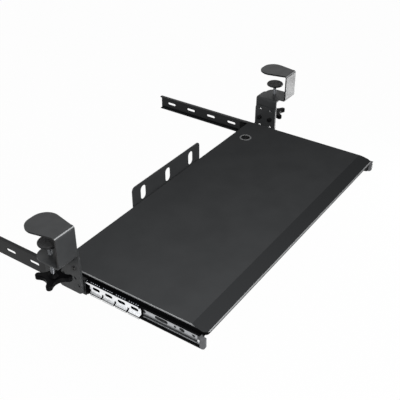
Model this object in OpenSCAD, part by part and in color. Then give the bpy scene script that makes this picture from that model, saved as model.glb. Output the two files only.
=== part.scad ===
// Pull-out keyboard tray that hangs under a desk from two screw clamps.
// Millimetres, +Z up, +X to the user's right, +Y away from the user.
// The origin is the middle of the gripped edge: the desk's top surface at its front face.

/* [Tray board] */
// Width of the tray board
tray_w = 688; // [560:1:800]
// Depth of the tray board, front edge to rear edge
tray_d = 331; // [300:0.5:380]
// Thickness of the tray board
board_t = 12; // [10:0.5:14]
// Depth of the sloped wrist strip along the front edge
bevel_d = 32; // [20:0.5:50]
// Radius of the half-round front edge that the wrist strip runs down to
nose_r = 3; // [2:0.1:4]
// Radius of the two front corners in plan
front_corner_r = 13; // [4:0.5:20]
// Radius of the two rear corners in plan
rear_corner_r = 4; // [2:0.5:12]
// Radius of the rounded top edge along both sides
edge_r = 2.5; // [1.5:0.1:4]
// Distance that the tray's front edge stands ahead of the desk's edge when pulled out
tray_reach = 253.5; // [230:0.5:280]
// Height from the desk's top surface down to the tray's top surface
tray_drop = 126.5; // [115:0.5:150]

/* [Cable hole] */
// Distance of the cable hole's centre from the tray's right edge
grommet_side = 79; // [60:1:120]
// Distance of the cable hole's centre from the tray's rear edge
grommet_rear = 35; // [30:1:60]
// Radius of the clear hole through the grommet
grommet_bore_r = 10.5; // [8:0.5:13]
// Wall of the grommet's sleeve
grommet_wall = 1.6; // [1.2:0.1:2.5]
// Width of the grommet's rim around the hole in the board
grommet_rim = 2.4; // [1.5:0.1:4]
// Depth of the recess that takes the grommet's rim
grommet_recess = 1; // [0.5:0.1:2]
// Height that the grommet's rim stands above the board
grommet_proud = 0.6; // [0.2:0.1:1.5]

/* [Rear stop] */
// Width of the stop plate behind the tray
stop_w = 244; // [220:1:300]
// Height of the stop plate above the tray's top surface
stop_h = 42; // [40:1:60]
// Sheet thickness of the stop plate
stop_t = 2; // [1.5:0.1:3]
// Gap between the tray's rear edge and the stop plate
stop_gap = 3.3; // [2:0.1:6]
// Spacing of the three upright slots in the stop plate
stop_slot_pitch = 86.5; // [80:0.5:92]
// Width of a slot in the stop plate
stop_slot_w = 18; // [12:0.5:24]
// Height of a slot in the stop plate
stop_slot_h = 33; // [28:0.5:36]
// Depth of the stop's foot under the board
stop_foot = 22; // [18:1:40]

/* [Slides] */
// Length of the fixed channel of each slide
channel_len = 356; // [330:1:400]
// Length of the moving rail of each slide
rail_len = 350; // [330:1:356]
// Travel of the tray on its slides
travel = 250; // [220:1:254]
// Overall thickness of a slide, from the tray's bracket to the hanger
slide_t = 10; // [9.6:0.1:12]
// Height of the moving rail
rail_h = 26.4; // [24:0.2:30]
// Height from the tray's top surface down to the slides' centre line
slide_drop = 24.5; // [23:0.5:32]
// Distance of the channels' front ends behind the desk's edge
channel_set_back = 8; // [0:0.1:12]
// Sheet thickness of the fixed channel
channel_sheet = 1.2; // [1:0.1:1.5]
// Sheet thickness of the moving rail
rail_sheet = 1.4; // [1:0.1:1.8]
// Diameter of the bearing balls
ball_d = 3.9; // [3.6:0.1:4.2]
// Clearance between a ball and its races
ball_clear = 0.25; // [0.2:0.05:0.35]
// Wall of steel behind a race
race_wall = 1.3; // [1:0.1:1.6]
// Half of the open gap between the two races' lips
race_open = 1; // [0.9:0.05:1.2]
// Running gap between a slide's members
run_gap = 0.6; // [0.4:0.05:0.8]

/* [Ball cages] */
// Sheet thickness of the ball cage
cage_t = 0.7; // [0.5:0.05:0.9]
// Number of ball groups along a cage
cage_groups = 6; // [5:1:6]
// Spacing of the ball groups
cage_pitch = 29.7; // [28:0.1:31]
// Number of balls in a group
group_balls = 5; // [3:1:5]
// Spacing of the balls in a group
ball_pitch = 4.9; // [4.7:0.1:5.1]
// Length of a slot in the cage's web
cage_slot_l = 17; // [10:0.5:20]
// Height of a slot in the cage's web
cage_slot_h = 5.6; // [2:0.1:6]

/* [Rail brackets] */
// Sheet thickness of the angle bracket under each tray edge
angle_t = 1.5; // [1.2:0.1:2]
// Width of the angle's leg under the board
angle_leg = 25; // [20:1:40]
// Length of the plug that closes a rail's front end
plug_len = 11.4; // [10:0.2:14]
// Thickness of the plug's nose plate
plug_t = 4.2; // [1.6:0.1:5]
// Radius of the plug's lower front corner
plug_r = 8; // [4:0.5:9]

/* [Hangers] */
// Thickness of the hanger plate that carries a slide
hanger_t = 2.5; // [2:0.1:3]
// Distance of the hangers' front edges behind the desk's edge
hanger_set_back = 12.1; // [10:0.1:18]
// Depth of a hanger, front to back
hanger_d = 56.5; // [50:0.5:64]
// Depth of the hanger plate's foot along the slide
hanger_foot = 94; // [80:1:110]
// Height that the hanger plate's upper end stands above the tray's top surface
hanger_rise = 47; // [44:0.5:54]
// Height of the clamped bolts above the tray's top surface
bolt_rise = 16; // [10:0.5:18]
// Spacing of the height-setting holes
bolt_pitch = 22; // [21:0.5:25]
// Distance between the two columns of holes
bolt_cols = 29; // [24:0.5:30]
// Radius of the hanger bolts' shanks
bolt_r = 3; // [2.5:0.1:3.5]
// Radius of the hanger bolts' heads
bolt_head_r = 5.5; // [4.5:0.1:6]
// Height of the hanger bolts' heads
bolt_head_h = 2; // [1.8:0.1:3.5]

/* [Clamps] */
// Thickness of the clamps' bent steel
steel_t = 3; // [2.5:0.1:4]
// Outer radius of the clamps' bends
bend_r = 5; // [4.5:0.1:7]
// Width of a clamp's front plate
plate_w = 47; // [40:0.5:56]
// Clear height between the top pad and the lower flange
jaw_h = 59; // [56:0.5:70]
// Thickness of the pad under a clamp's paddle
top_pad_t = 1.5; // [1:0.1:3]
// Width of the round-ended paddle on the desk's top
paddle_w = 64.5; // [58:0.5:72]
// Radius of the paddle's rear corners
paddle_r = 27; // [20:0.5:28]
// Distance of the paddle's end behind the desk's edge
paddle_l = 75.5; // [70:0.5:84]
// Distance of the clamp screw behind the desk's edge
screw_y = 40; // [36:0.5:44]

/* [Clamp screws] */
// Thickness of the desk that is gripped at rest
desk_t = 30.5; // [28:0.5:34]
// Radius of the clamp screw
screw_r = 4; // [3.5:0.1:5]
// Radius of the pressure pad's cup
cup_r = 20; // [16:0.5:22]
// Height of the pressure pad's cup
cup_h = 6; // [5:0.1:6]
// Thickness of the rubber face on the pressure pad
face_t = 2; // [1.5:0.1:2]
// Distance from the pressure pad's face down to the knob's upper face
screw_reach = 76; // [74:0.5:90]
// Radius of the threaded boss under the flange
boss_r = 10; // [8:0.5:12]
// Height of the threaded boss under the flange
boss_h = 10; // [8:0.5:10]

/* [Knobs] */
// Radius of the four-armed knob, to the tips of its arms
knob_r = 34; // [28:0.5:38]
// Half of the width of an arm
arm_half = 6; // [5:0.1:7]
// Thickness of the arms
arm_t = 10; // [8:0.5:12]
// Radius of the rounded edges of the knob
knob_edge = 2; // [1:0.1:2.5]
// Radius of the knob's hub
hub_r = 11; // [9:0.5:13]
// Height of the hub's collar above the arms
collar_h = 6; // [4:0.5:8]
// Turn of the knob about its screw, in degrees
knob_turn = 62; // [0:1:90]

/* [Hidden] */

$fn = 64;
eps = 0.01;
fit_gap = 0.05;
knob_gap = 1;

// Heights
tray_top = -tray_drop;
tray_bottom = tray_top - board_t;
slide_z = tray_top - slide_drop;
paddle_under = top_pad_t;
flange_top = -jaw_h;
flange_under = flange_top - steel_t;
pad_top = -desk_t;
cup_top = pad_top - face_t;
cup_under = cup_top - cup_h;
knob_top = pad_top - screw_reach;

// Depths at rest, with the tray pulled out
tray_front = -tray_reach;
tray_rear = tray_front + tray_d;
channel_front = channel_set_back;
rail_lead = 1;
rail_front = channel_front - rail_lead - travel;
cage_front = channel_front - travel / 2;
cage_len = cage_groups * cage_pitch;
hanger_rear = hanger_set_back + hanger_d;

// Sideways places on the right-hand side
slide_x = tray_w / 2;
hanger_x = slide_x + slide_t;
leg_x = hanger_x + hanger_t;
leg_out = leg_x + steel_t;
clamp_x = leg_out + bolt_head_h + knob_gap + knob_r;

// Section of a slide: u runs outwards from the tray's bracket, v runs up from the centre line
race_r = ball_d / 2 + ball_clear;
pocket_r = ball_d / 2 + 0.1;
cage_out_u = slide_t - channel_sheet - run_gap;
rail_tip_u = cage_out_u - cage_t - run_gap;
ball_u = rail_tip_u - ball_d / 2;
ball_v = rail_h / 2 + race_open;
channel_v = ball_v + race_r + race_wall;
channel_race_v = ball_v + race_open;
channel_lip_u = ball_u - race_r - 0.2;
rail_race_v = ball_v - race_r - race_wall;
rail_race_u = ball_u - race_r;
rail_bend_v = rail_race_v - 1.5;
upper_lip_u = ball_u + 0.3;
upper_lip_v = ball_v - race_r - 0.6;
cage_wall = 0.6;
cage_in_u = ball_u - pocket_r - cage_wall;
cage_step = 1.2;
cage_web_u = cage_out_u - cage_t - cage_step;
cage_web_v = rail_race_v - 2.8;
cage_rise = 2;

// Holes along the moving rail's web, as distance from an end, length and height
rail_holes = [[15.9, 7, 5], [39.9, 11, 7.5], [54.4, 5, 4.6], [83.8, 28, 7.5], [121.4, 7, 7]];
rail_hole_v = 2;
rivet_end = 4.7;
rivet_v = -4.3;
rivet_r = 2.1;
rivet_head_r = 3.6;
rivet_head_h = 0.9;
rivet_count = 3;

// Screws that hold sheet metal to the board and to the hangers
wood_screw_r = 2;
wood_screw_head_r = 4;
wood_screw_head_h = 2.2;
wood_screw_depth = 8;
bracket_screw_count = 4;
bracket_inset = 6;
channel_screw_r = 2.4;
channel_screw_head_r = 4;
channel_screw_head_h = 1.3;
channel_screw_front = 6.5;
channel_screw_rear = 16;
channel_screw_z = slide_z + 3.5;
nut_r = 5.7;
nut_h = 5;
bolt_hole_r = bolt_r + 0.2;
bolt_z = tray_top + bolt_rise;
bolt_mid_y = hanger_set_back + hanger_d / 2;
plate_corner_r = 8;

// Colours
CHARCOAL = "#2e2f31";
BLACK = "#151515";
BOARD = "#3c3d3f";
ZINC = "#d3d6d8";
STEEL = "#9da1a5";
GREY = "#6e7072";
RUBBER = "#1c1c1d";

// Angle on a circle at which a line from a point outside touches it
function tangent_angle(centre, radius, from) =
    let (reach = from - centre)
    atan2(reach.y, reach.x) + acos(radius / norm(reach));

function on_circle(centre, radius, angle) = centre + radius * [cos(angle), sin(angle)];

// Shared shapes
module on_side(side) {
    mirror([side < 0 ? 1 : 0, 0, 0])
        children();
}

module round_rect(low, high, r) {
    translate([low.x + r, low.y])
        square([high.x - low.x - 2 * r, high.y - low.y]);
    translate([low.x, low.y + r])
        square([high.x - low.x, high.y - low.y - 2 * r]);
    for (x = [low.x + r, high.x - r], y = [low.y + r, high.y - r])
        translate([x, y])
            circle(r);
}

module obround(length, height) {
    run = length - height;
    if (run > 0) {
        square([run, height], center = true);
        for (end = [-1, 1])
            translate([end * run / 2, 0])
                circle(d = height);
    } else {
        circle(d = height);
    }
}

// Stands a shape drawn in Y and Z upright and gives it a width along X
module extrude_x(from, width) {
    translate([from, 0, 0])
        rotate([90, 0, 90])
            linear_extrude(width)
                children();
}

// Draws a shape in X and Z out along Y
module extrude_y(from, length) {
    translate([0, from + length, 0])
        rotate([90, 0, 0])
            linear_extrude(length)
                children();
}

module slide_section(from, length) {
    translate([slide_x, 0, slide_z])
        extrude_y(from, length)
            children();
}

module pin_x(from, length, r, y, z) {
    translate([from, y, z])
        rotate([0, 90, 0])
            cylinder(h = length, r = r);
}

module wood_screw(x, y, under) {
    translate([x, y, under - wood_screw_head_h])
        cylinder(h = wood_screw_head_h, r1 = wood_screw_head_r - 1, r2 = wood_screw_head_r);
    translate([x, y, under - eps])
        cylinder(h = tray_bottom - under + wood_screw_depth + eps, r = wood_screw_r);
}

module wood_screw_hole(x, y, under) {
    translate([x, y, under - 1])
        cylinder(h = tray_bottom - under + wood_screw_depth + 1 + fit_gap, r = wood_screw_r + fit_gap);
}

// Places of the repeated fasteners
bracket_len = tray_d - 2 * bracket_inset;
bracket_front = tray_front + bracket_inset;
bracket_screw_x = slide_x - angle_leg * 0.6;
bracket_screw_y = [for (i = [0 : bracket_screw_count - 1])
    bracket_front + bracket_len * (i + 0.5) / bracket_screw_count];
stop_screw_y = tray_rear - stop_foot / 2 + stop_gap / 2;
stop_screw_x = [for (i = [-1, 1]) i * stop_slot_pitch];
rivet_y = [for (i = [0 : rivet_count - 1])
    rail_front + rivet_end + (bracket_len - 2 * rivet_end) * i / (rivet_count - 1)];
channel_screw_y = [hanger_set_back + channel_screw_front,
    hanger_set_back + hanger_foot - channel_screw_rear];
grommet_at = [slide_x - grommet_side, tray_rear - grommet_rear];
grommet_sleeve_r = grommet_bore_r + grommet_wall;
grommet_rim_r = grommet_sleeve_r + grommet_rim;

// Tray, cut from an outline that stands a little ahead of the half-round front edge
outline_lead = 0.3;
outline_front = tray_front - outline_lead;

module board_plan() {
    difference() {
        union() {
            translate([-tray_w / 2, outline_front + front_corner_r])
                square([tray_w, tray_rear - outline_front - front_corner_r - rear_corner_r]);
            translate([-tray_w / 2 + front_corner_r, outline_front])
                square([tray_w - 2 * front_corner_r, tray_d / 2]);
            translate([-tray_w / 2 + rear_corner_r, tray_front + tray_d / 2])
                square([tray_w - 2 * rear_corner_r, tray_d / 2]);
            for (s = [-1, 1]) {
                translate([s * (tray_w / 2 - front_corner_r), outline_front + front_corner_r])
                    circle(front_corner_r);
                translate([s * (tray_w / 2 - rear_corner_r), tray_rear - rear_corner_r])
                    circle(rear_corner_r);
            }
        }
        translate(grommet_at)
            circle(grommet_sleeve_r + fit_gap);
    }
}

// The wrist strip falls from the fold to the crest, where it meets the half-round nose
module board_side() {
    fold = [tray_front + bevel_d, tray_top];
    nose = [tray_front + nose_r, tray_bottom + nose_r];
    under_angle = 270;
    crest_angle = tangent_angle(nose, nose_r, fold);
    nose_steps = 18;
    nose_arc = [for (i = [0 : nose_steps])
        on_circle(nose, nose_r, under_angle + (crest_angle - under_angle) * i / nose_steps)];
    polygon(concat(nose_arc, [fold, [tray_rear, tray_top], [tray_rear, tray_bottom]]));
}

module board_end() {
    translate([-tray_w / 2, tray_bottom - edge_r])
        square([tray_w, board_t]);
    translate([-tray_w / 2 + edge_r, tray_bottom - edge_r])
        square([tray_w - 2 * edge_r, board_t + edge_r]);
    for (s = [-1, 1])
        translate([s * (tray_w / 2 - edge_r), tray_top - edge_r])
            circle(edge_r);
}

module tray_board() {
    color(BOARD)
        difference() {
            intersection() {
                translate([0, 0, tray_bottom - board_t])
                    linear_extrude(3 * board_t)
                        board_plan();
                extrude_x(-tray_w, 2 * tray_w)
                    board_side();
                extrude_y(tray_front - bevel_d, tray_d + 2 * bevel_d)
                    board_end();
            }
            for (s = [-1, 1], y = bracket_screw_y)
                wood_screw_hole(s * bracket_screw_x, y, tray_bottom);
            for (x = stop_screw_x)
                wood_screw_hole(x, stop_screw_y, tray_bottom);
            translate([grommet_at.x, grommet_at.y, tray_top - grommet_recess])
                cylinder(h = 2 * grommet_recess, r = grommet_rim_r + fit_gap);
        }
}

module cable_grommet() {
    rim_under = board_t - grommet_recess;
    rim_top = board_t + grommet_proud;
    lead_in = 0.5;
    color(BLACK)
        translate([grommet_at.x, grommet_at.y, tray_bottom])
            rotate_extrude()
                polygon([
                    [grommet_bore_r, 0],
                    [grommet_sleeve_r, 0],
                    [grommet_sleeve_r, rim_under],
                    [grommet_rim_r, rim_under],
                    [grommet_rim_r, board_t],
                    [grommet_rim_r - grommet_proud, rim_top],
                    [grommet_bore_r + lead_in, rim_top],
                    [grommet_bore_r, rim_top - lead_in]
                ]);
}

module rear_stop() {
    plate_y = tray_rear + stop_gap;
    slot_z = tray_top - 1 + stop_slot_h / 2;
    foot_under = tray_bottom - stop_t;
    stop_corner_r = 10;
    color(BLACK)
        difference() {
            union() {
                extrude_y(plate_y, stop_t)
                    difference() {
                        round_rect([-stop_w / 2, foot_under - stop_corner_r],
                                   [stop_w / 2, tray_top + stop_h], stop_corner_r);
                        translate([-stop_w, foot_under - 2 * stop_corner_r])
                            square([2 * stop_w, 2 * stop_corner_r]);
                        for (i = [-1 : 1])
                            translate([i * stop_slot_pitch, slot_z])
                                rotate(90)
                                    obround(stop_slot_h, stop_slot_w);
                    }
                translate([-stop_w / 2, plate_y + stop_t - stop_foot - stop_gap, foot_under])
                    cube([stop_w, stop_foot + stop_gap, stop_t]);
            }
            for (x = stop_screw_x)
                wood_screw_hole(x, stop_screw_y, foot_under);
        }
}

module rear_stop_screws() {
    color(STEEL)
        for (x = stop_screw_x)
            wood_screw(x, stop_screw_y, tray_bottom - stop_t);
}

// Angle bracket under each tray edge
module rail_bracket(side) {
    leg_under = slide_z - rail_h / 2;
    bend_in = 1;
    bend_out = bend_in + angle_t;
    corner_r = 6;
    color(CHARCOAL)
        on_side(side)
            difference() {
                intersection() {
                    extrude_y(bracket_front, bracket_len)
                        difference() {
                            round_rect([slide_x - 2 * angle_leg, leg_under - 2 * bend_out],
                                       [slide_x, tray_bottom], bend_out);
                            round_rect([slide_x - 2 * angle_leg - angle_t, leg_under - 2 * bend_out],
                                       [slide_x - angle_t, tray_bottom - angle_t], bend_in);
                            translate([slide_x - 3 * angle_leg, leg_under - 3 * bend_out])
                                square([2 * angle_leg, 100]);
                            translate([slide_x - angle_leg, leg_under - 3 * bend_out])
                                square([2 * angle_leg, 3 * bend_out]);
                        }
                    extrude_x(slide_x - angle_leg, angle_leg)
                        round_rect([bracket_front, leg_under], [bracket_front + bracket_len,
                                   tray_bottom + corner_r], corner_r);
                }
                for (y = bracket_screw_y)
                    wood_screw_hole(bracket_screw_x, y, tray_bottom - angle_t);
                for (y = rivet_y)
                    pin_x(slide_x - angle_t - 1, angle_t + 2, rivet_r + fit_gap, y, slide_z + rivet_v);
            }
}

module bracket_screws(side) {
    color(STEEL)
        on_side(side)
            for (y = bracket_screw_y)
                wood_screw(bracket_screw_x, y, tray_bottom - angle_t);
}

// Slides
// A flat web between a slim upper lip and a heavier lower one, which slopes out to carry the load
module rail_profile() {
    difference() {
        union() {
            translate([0, -rail_h / 2])
                square([rail_sheet, rail_h]);
            translate([0, rail_h / 2 - rail_sheet])
                square([upper_lip_u, rail_sheet]);
            translate([rail_race_u, upper_lip_v])
                square([upper_lip_u - rail_race_u, rail_h / 2 - upper_lip_v]);
            polygon([
                [0, -rail_h / 2],
                [rail_tip_u, -rail_h / 2],
                [rail_tip_u, -rail_race_v],
                [rail_sheet, -rail_bend_v],
                [0, -rail_bend_v]
            ]);
        }
        for (m = [-1, 1])
            translate([ball_u, m * ball_v])
                circle(race_r);
    }
}

module inner_rail(side) {
    color(GREY)
        on_side(side)
            difference() {
                slide_section(rail_front, rail_len)
                    rail_profile();
                for (hole = rail_holes, y = [rail_front + hole[0], rail_front + rail_len - hole[0]])
                    extrude_x(slide_x - 1, rail_sheet + 2)
                        translate([y, slide_z + rail_hole_v])
                            obround(hole[1], hole[2]);
                for (y = rivet_y)
                    pin_x(slide_x - 1, rail_sheet + 2, rivet_r + fit_gap, y, slide_z + rivet_v);
            }
}

module rail_rivets(side) {
    color(ZINC)
        on_side(side)
            for (y = rivet_y) {
                pin_x(slide_x - angle_t - eps, angle_t + rail_sheet + 2 * eps, rivet_r,
                      y, slide_z + rivet_v);
                translate([slide_x + rail_sheet, y, slide_z + rivet_v])
                    rotate([0, 90, 0])
                        cylinder(h = rivet_head_h, r1 = rivet_head_r, r2 = rivet_head_r - 1);
                translate([slide_x - angle_t, y, slide_z + rivet_v])
                    rotate([0, -90, 0])
                        cylinder(h = rivet_head_h, r1 = rivet_head_r, r2 = rivet_head_r - 1);
            }
}

module plug_plan() {
    translate([rail_front - plug_len, slide_z - rail_h / 2])
        intersection() {
            square([plug_len, rail_h]);
            union() {
                translate([0, plug_r])
                    square([plug_len, rail_h]);
                translate([plug_r, 0])
                    square([plug_len, rail_h]);
                translate([plug_r, plug_r])
                    circle(plug_r);
            }
        }
}

// A nose plate flush with the rail's outer edge, on a block that closes the rail's end
module rail_plug(side) {
    block_l = 2;
    tongue_l = 7;
    tongue_t = 1.6;
    tongue_v = rail_race_v - 2;
    tongue_u = rail_sheet + fit_gap;
    color(GREY)
        on_side(side) {
            extrude_x(slide_x + rail_tip_u - plug_t, plug_t)
                plug_plan();
            translate([slide_x, rail_front - block_l, slide_z - rail_h / 2])
                cube([rail_tip_u, block_l, rail_h]);
            translate([slide_x + tongue_u, rail_front - eps, slide_z + 0.5])
                cube([tongue_t, tongue_l, tongue_v]);
        }
}

module cage_profile() {
    upper = [
        [cage_web_u + cage_t, cage_web_v],
        [cage_out_u, cage_web_v + cage_rise],
        [cage_out_u, ball_v + cage_t / 2],
        [cage_in_u, ball_v + cage_t / 2],
        [cage_in_u, ball_v - cage_t / 2],
        [cage_out_u - cage_t, ball_v - cage_t / 2],
        [cage_out_u - cage_t, cage_web_v + cage_rise + 0.4],
        [cage_web_u, cage_web_v + 0.4]
    ];
    lower = [for (i = [len(upper) - 1 : -1 : 0]) [upper[i].x, -upper[i].y]];
    polygon(concat(upper, lower));
}

function group_y(i) = cage_front + cage_pitch * (i + 0.5);
function ball_y(i, j) = group_y(i) + ball_pitch * (j - (group_balls - 1) / 2);

module ball_cage(side) {
    gap_l = cage_pitch - (group_balls - 1) * ball_pitch - 2 * pocket_r - 2 * cage_wall;
    gap_v = cage_web_v + cage_rise - 0.4;
    color(ZINC)
        on_side(side)
            difference() {
                slide_section(cage_front, cage_len)
                    cage_profile();
                for (i = [0 : cage_groups - 1]) {
                    extrude_x(slide_x, slide_t)
                        translate([group_y(i), slide_z])
                            obround(cage_slot_l, cage_slot_h);
                    for (j = [0 : group_balls - 1], m = [-1, 1])
                        translate([slide_x + ball_u, ball_y(i, j), slide_z + m * ball_v - cage_t])
                            cylinder(h = 2 * cage_t, r = pocket_r, $fn = 32);
                }
                for (i = [1 : cage_groups])
                    translate([slide_x, cage_front + cage_pitch * i - gap_l / 2, slide_z - channel_v])
                        cube([slide_t, gap_l, channel_v - gap_v]);
                for (m = [-1, 1])
                    extrude_x(slide_x, slide_t)
                        polygon([
                            [cage_front - 1, slide_z + m * cage_web_v / 3],
                            [cage_front + gap_l / 2, slide_z + m * gap_v],
                            [cage_front + gap_l / 2, slide_z + m * channel_v],
                            [cage_front - 1, slide_z + m * channel_v]
                        ]);
            }
}

module balls(side) {
    color(STEEL)
        on_side(side)
            for (i = [0 : cage_groups - 1], j = [0 : group_balls - 1], m = [-1, 1])
                translate([slide_x + ball_u, ball_y(i, j), slide_z + m * ball_v])
                    sphere(d = ball_d, $fn = 32);
}

module channel_profile() {
    translate([slide_t - channel_sheet, -channel_v])
        square([channel_sheet, 2 * channel_v]);
    for (m = [0, 1])
        mirror([0, m])
            difference() {
                union() {
                    translate([channel_lip_u, channel_v - channel_sheet])
                        square([slide_t - channel_lip_u, channel_sheet]);
                    translate([channel_lip_u, channel_race_v])
                        square([rail_tip_u - channel_lip_u, channel_v - channel_race_v]);
                }
                translate([ball_u, ball_v])
                    circle(race_r);
            }
}

module outer_channel(side) {
    slot_pitch = 64;
    slot_l = 24;
    slot_h = 6;
    first_slot = hanger_set_back + hanger_foot + slot_pitch / 2;
    last_slot = channel_front + channel_len - slot_pitch / 2;
    color(BLACK)
        on_side(side)
            difference() {
                slide_section(channel_front, channel_len)
                    channel_profile();
                for (y = channel_screw_y)
                    pin_x(hanger_x - channel_sheet - 1, channel_sheet + 2, channel_screw_r + fit_gap,
                          y, channel_screw_z);
                for (y = [first_slot : slot_pitch : last_slot])
                    extrude_x(hanger_x - channel_sheet - 1, channel_sheet + 2)
                        translate([y, slide_z])
                            obround(slot_l, slot_h);
            }
}

module channel_screws(side) {
    color(STEEL)
        on_side(side)
            for (y = channel_screw_y) {
                pin_x(hanger_x - channel_sheet - eps, channel_sheet + hanger_t + eps, channel_screw_r,
                      y, channel_screw_z);
                translate([hanger_x - channel_sheet, y, channel_screw_z])
                    rotate([0, -90, 0])
                        cylinder(h = channel_screw_head_h, r1 = channel_screw_head_r,
                                 r2 = channel_screw_head_r - 0.6);
            }
}

// Hangers
module bolt_holes(from, width) {
    for (i = [-1 : 1], col = [-1, 1])
        pin_x(from, width, bolt_hole_r, bolt_mid_y + col * bolt_cols / 2, bolt_z + i * bolt_pitch);
}

module hanger_plan() {
    foot_top = slide_z + channel_v - 1;
    plate_under = slide_z - channel_v + 1;
    inner_r = 6;
    difference() {
        union() {
            round_rect([hanger_set_back, plate_under], [hanger_rear, tray_top + hanger_rise],
                       plate_corner_r);
            round_rect([bolt_mid_y, plate_under], [hanger_set_back + hanger_foot, foot_top],
                       plate_corner_r);
            translate([bolt_mid_y, foot_top - plate_corner_r])
                square([hanger_d / 2 + inner_r, plate_corner_r + inner_r]);
        }
        translate([hanger_rear + inner_r, foot_top + inner_r])
            circle(inner_r);
    }
}

module hanger_plate(side) {
    color(CHARCOAL)
        on_side(side)
            difference() {
                extrude_x(hanger_x, hanger_t)
                    hanger_plan();
                bolt_holes(hanger_x - 1, hanger_t + 2);
                for (y = channel_screw_y)
                    pin_x(hanger_x - 1, hanger_t + 2, channel_screw_r + fit_gap, y, channel_screw_z);
            }
}

module hanger_bolts(side) {
    grip = hanger_t + steel_t;
    color(BLACK)
        on_side(side)
            for (col = [-1, 1])
                translate([leg_out, bolt_mid_y + col * bolt_cols / 2, bolt_z])
                    rotate([0, 90, 0]) {
                        difference() {
                            cylinder(h = bolt_head_h, r1 = bolt_head_r, r2 = bolt_head_r - 1.4);
                            translate([0, 0, bolt_head_h - 1.4])
                                cylinder(h = 2, r = bolt_r * 0.6, $fn = 6);
                        }
                        translate([0, 0, -grip - nut_h - 1])
                            cylinder(h = grip + nut_h + 1 + eps, r = bolt_r);
                        translate([0, 0, -grip - nut_h])
                            cylinder(h = nut_h, r = nut_r, $fn = 6);
                    }
}

// Clamps
module paddle_plan(inset, start) {
    r = paddle_r - inset;
    corner_x = paddle_w / 2 - paddle_r;
    corner_y = paddle_l - paddle_r;
    neck = plate_w / 2 - inset;
    corner = [corner_x, corner_y];
    edge = on_circle(corner, r, tangent_angle(corner, r, [neck, start]));
    for (s = [-1, 1])
        translate([s * corner_x, corner_y])
            circle(r);
    translate([-corner_x, corner_y - r])
        square([2 * corner_x, 2 * r]);
    polygon([[-neck, start], [neck, start], edge, [0, corner_y], [-edge.x, edge.y]]);
}

module bend_profile(run) {
    intersection() {
        difference() {
            round_rect([-steel_t, flange_under], [6 * run, paddle_under + steel_t], bend_r);
            round_rect([0, flange_top], [6 * run, paddle_under], bend_r - steel_t);
        }
        translate([-2 * steel_t, flange_under - steel_t])
            square([2 * steel_t + run, jaw_h + 4 * steel_t]);
    }
}

module flange_plan(start) {
    arm_r = 10;
    translate([clamp_x - plate_w / 2, start])
        square([plate_w, screw_y - start]);
    translate([clamp_x, screw_y])
        circle(plate_w / 2);
    translate([leg_x + bend_r, hanger_set_back])
        square([clamp_x - arm_r - leg_x - bend_r, hanger_d]);
    translate([clamp_x - arm_r, hanger_set_back])
        square([arm_r, hanger_d - arm_r]);
    translate([clamp_x - arm_r, hanger_rear - arm_r])
        circle(arm_r);
}

module drop_leg() {
    leg_under = slide_z - channel_v + 2;
    far_x = leg_x + 4 * bend_r;
    intersection() {
        extrude_y(hanger_set_back, hanger_d)
            difference() {
                round_rect([leg_x, leg_under - 2 * bend_r], [far_x, flange_top], bend_r);
                round_rect([leg_out, leg_under - 2 * bend_r], [far_x + steel_t, flange_under],
                           bend_r - steel_t);
                translate([leg_x + 2 * bend_r, leg_under - 3 * bend_r])
                    square([6 * bend_r, 4 * jaw_h + tray_drop]);
            }
        extrude_x(leg_x, 4 * bend_r)
            round_rect([hanger_set_back, leg_under], [hanger_rear, flange_top + plate_corner_r],
                       plate_corner_r);
    }
}

module clamp_bracket(side) {
    run = 2 * bend_r;
    color(CHARCOAL)
        on_side(side)
            difference() {
                union() {
                    extrude_x(clamp_x - plate_w / 2, plate_w)
                        bend_profile(run);
                    translate([clamp_x, 0, paddle_under])
                        linear_extrude(steel_t)
                            paddle_plan(0, bend_r);
                    translate([0, 0, flange_under])
                        linear_extrude(steel_t)
                            flange_plan(bend_r);
                    drop_leg();
                }
                translate([clamp_x, screw_y, flange_under - 1])
                    cylinder(h = steel_t + 2, r = screw_r + 0.6);
                bolt_holes(leg_x - 1, steel_t + 2);
                for (y = channel_screw_y)
                    pin_x(leg_x - 1, steel_t + 2, channel_screw_r + 0.8, y, channel_screw_z);
            }
}

module top_pad(side) {
    inset = 2;
    color(RUBBER)
        on_side(side)
            translate([clamp_x, 0, 0])
                linear_extrude(top_pad_t)
                    paddle_plan(inset, bend_r + 1);
}

module threaded_boss(side) {
    color(STEEL)
        on_side(side)
            translate([clamp_x, screw_y, flange_under - boss_h])
                rotate_extrude()
                    polygon([
                        [screw_r + fit_gap, 0],
                        [boss_r - 1, 0],
                        [boss_r, 1],
                        [boss_r, boss_h],
                        [screw_r + fit_gap, boss_h]
                    ]);
}

// Clamp screws
socket_r = screw_r - 1;
socket_h = cup_h - 2;

module clamp_screw(side) {
    shoulder = cup_under - 0.3;
    foot = knob_top - arm_t * 0.6;
    color(STEEL)
        on_side(side)
            translate([clamp_x, screw_y, 0]) {
                translate([0, 0, foot])
                    cylinder(h = shoulder - foot, r = screw_r);
                translate([0, 0, shoulder - eps])
                    cylinder(h = socket_h + eps, r = socket_r);
            }
}

module pad_cup(side) {
    color(BLACK)
        on_side(side)
            translate([clamp_x, screw_y, cup_under])
                rotate_extrude()
                    polygon([
                        [socket_r + fit_gap, 0],
                        [cup_r * 0.45, 0],
                        [cup_r * 0.55, cup_h - 3.2],
                        [cup_r - 1, cup_h - 3.2],
                        [cup_r, cup_h - 2.2],
                        [cup_r, cup_h],
                        [0, cup_h],
                        [0, socket_h],
                        [socket_r + fit_gap, socket_h]
                    ]);
}

module pad_face(side) {
    color(RUBBER)
        on_side(side)
            translate([clamp_x, screw_y, cup_top])
                rotate_extrude()
                    polygon([
                        [0, 0],
                        [cup_r - 1, 0],
                        [cup_r - 1, face_t - 0.6],
                        [cup_r - 1.6, face_t],
                        [0, face_t]
                    ]);
}

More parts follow.
